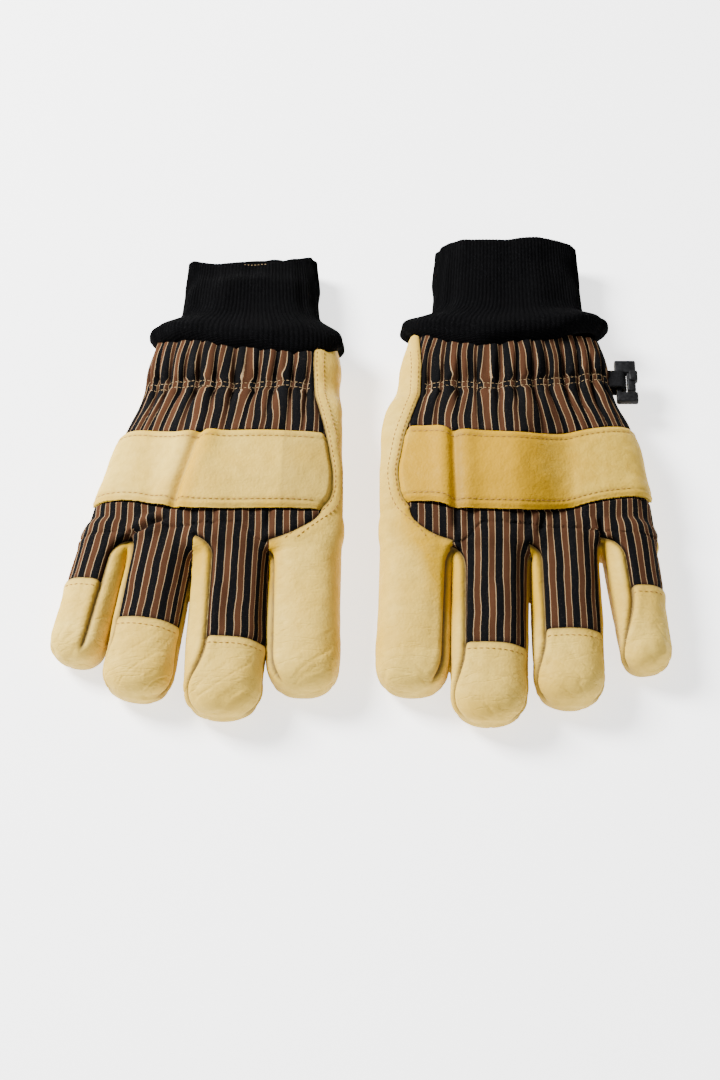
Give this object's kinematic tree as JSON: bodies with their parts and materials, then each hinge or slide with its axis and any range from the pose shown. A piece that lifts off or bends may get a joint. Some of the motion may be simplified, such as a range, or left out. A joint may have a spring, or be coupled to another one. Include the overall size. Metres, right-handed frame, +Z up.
{
  "type": "pair of welding gloves",
  "caption": "Leather-palm work gloves with striped cloth backs, leather knuckle straps, gathered wrists and knit cuffs, laid side by side.",
  "frame": {"origin": "middle of the pair's footprint on the table", "axes": "+Z up out of the gloves' backs, -Y towards the fingertips, +X towards the left hand's glove"},
  "size_m": [0.279, 0.2711, 0.0419],
  "materials": {
    "cream_leather": "matt grain",
    "strap_leather": "matt grain, deep yellow",
    "striped_cloth": "canvas with black and brown stripes and thin cream lines",
    "black_knit": "ribbed knit",
    "fleece_lining": "brushed",
    "elastic_webbing": "woven",
    "black_webbing": "woven",
    "black_plastic": "satin moulded"
  },
  "bodies": {
    "right_hand": {"right_palm_leather": "cream_leather", "right_palm_lining": "fleece_lining", "right_back_cloth": "striped_cloth", "right_knuckle_strap": "cream_leather", "right_wrist_elastic": "elastic_webbing", "right_knit_cuff": "black_knit"},
    "right_index_finger": {"right_index_leather": "cream_leather", "right_index_fork": "cream_leather"},
    "right_middle_finger": {"right_middle_back": "striped_cloth", "right_middle_tip": "cream_leather", "right_middle_front": "cream_leather", "right_middle_thumb_side_fork": "cream_leather", "right_middle_little_side_fork": "cream_leather"},
    "right_ring_finger": {"right_ring_back": "striped_cloth", "right_ring_tip": "cream_leather", "right_ring_front": "cream_leather", "right_ring_thumb_side_fork": "cream_leather", "right_ring_little_side_fork": "cream_leather"},
    "right_little_finger": {"right_little_back": "striped_cloth", "right_little_tip": "cream_leather", "right_little_front": "cream_leather", "right_little_fork": "cream_leather"},
    "right_thumb": {"right_thumb_front": "cream_leather", "right_thumb_back": "cream_leather"},
    "left_hand": {"left_palm_leather": "cream_leather", "left_palm_lining": "fleece_lining", "left_back_cloth": "striped_cloth", "left_knuckle_strap": "strap_leather", "left_wrist_elastic": "elastic_webbing", "left_knit_cuff": "black_knit", "left_clip_tab": "black_webbing"},
    "left_index_finger": {"left_index_leather": "cream_leather", "left_index_fork": "cream_leather"},
    "left_middle_finger": {"left_middle_back": "striped_cloth", "left_middle_tip": "cream_leather", "left_middle_front": "cream_leather", "left_middle_thumb_side_fork": "cream_leather", "left_middle_little_side_fork": "cream_leather"},
    "left_ring_finger": {"left_ring_back": "striped_cloth", "left_ring_tip": "cream_leather", "left_ring_front": "cream_leather", "left_ring_thumb_side_fork": "cream_leather", "left_ring_little_side_fork": "cream_leather"},
    "left_little_finger": {"left_little_back": "striped_cloth", "left_little_tip": "cream_leather", "left_little_front": "cream_leather", "left_little_fork": "cream_leather"},
    "left_thumb": {"left_thumb_front": "cream_leather", "left_thumb_back": "cream_leather"},
    "left_clip": {"left_clip_hook": "black_plastic"}
  },
  "joints": [
    {"name": "right_index_knuckle", "type": "hinge", "parent": "right_hand", "child": "right_index_finger", "pos_m": [-0.0247, -0.0414, 0.012], "axis": [1, -0.007, 0], "range_deg": [0, 60]},
    {"name": "right_middle_knuckle", "type": "hinge", "parent": "right_hand", "child": "right_middle_finger", "pos_m": [-0.0573, -0.0414, 0.0095], "axis": [0.9993, -0.0384, 0], "range_deg": [0, 60]},
    {"name": "right_ring_knuckle", "type": "hinge", "parent": "right_hand", "child": "right_ring_finger", "pos_m": [-0.0893, -0.0414, 0.0045], "axis": [0.9898, -0.1426, 0], "range_deg": [0, 60]},
    {"name": "right_little_knuckle", "type": "hinge", "parent": "right_hand", "child": "right_little_finger", "pos_m": [-0.1169, -0.0414, 0.0015], "axis": [0.9781, -0.2079, 0], "range_deg": [0, 60]},
    {"name": "right_thumb_swing", "type": "hinge", "parent": "right_hand", "child": "right_thumb", "pos_m": [-0.0277, 0.01385, 0.009], "axis": [0, 0, 1], "range_deg": [0, 50]},
    {"name": "left_index_knuckle", "type": "hinge", "parent": "left_hand", "child": "left_index_finger", "pos_m": [0.0242, -0.0414, 0.012], "axis": [0.9991, -0.0419, 0], "range_deg": [0, 60]},
    {"name": "left_middle_knuckle", "type": "hinge", "parent": "left_hand", "child": "left_middle_finger", "pos_m": [0.0591, -0.0414, 0.0095], "axis": [0.9996, -0.0279, 0], "range_deg": [0, 60]},
    {"name": "left_ring_knuckle", "type": "hinge", "parent": "left_hand", "child": "left_ring_finger", "pos_m": [0.0936, -0.0414, 0.0045], "axis": [1, 0.007, 0], "range_deg": [0, 60]},
    {"name": "left_little_knuckle", "type": "hinge", "parent": "left_hand", "child": "left_little_finger", "pos_m": [0.1223, -0.0414, 0.0015], "axis": [0.9952, 0.0976, 0], "range_deg": [0, 60]},
    {"name": "left_thumb_swing", "type": "hinge", "parent": "left_hand", "child": "left_thumb", "pos_m": [0.0273, 0.01385, 0.009], "axis": [0, 0, -1], "range_deg": [0, 50]},
    {"name": "left_glove_lift", "type": "slide", "parent": "right_hand", "child": "left_hand", "axis": [0, 0, 1], "range_m": [0, 0.1]},
    {"name": "left_clip_hinge", "type": "hinge", "parent": "left_hand", "child": "left_clip", "pos_m": [0.1227, 0.05185, 0.014], "axis": [0, 1, 0], "range_deg": [-80, 35]}
  ]
}
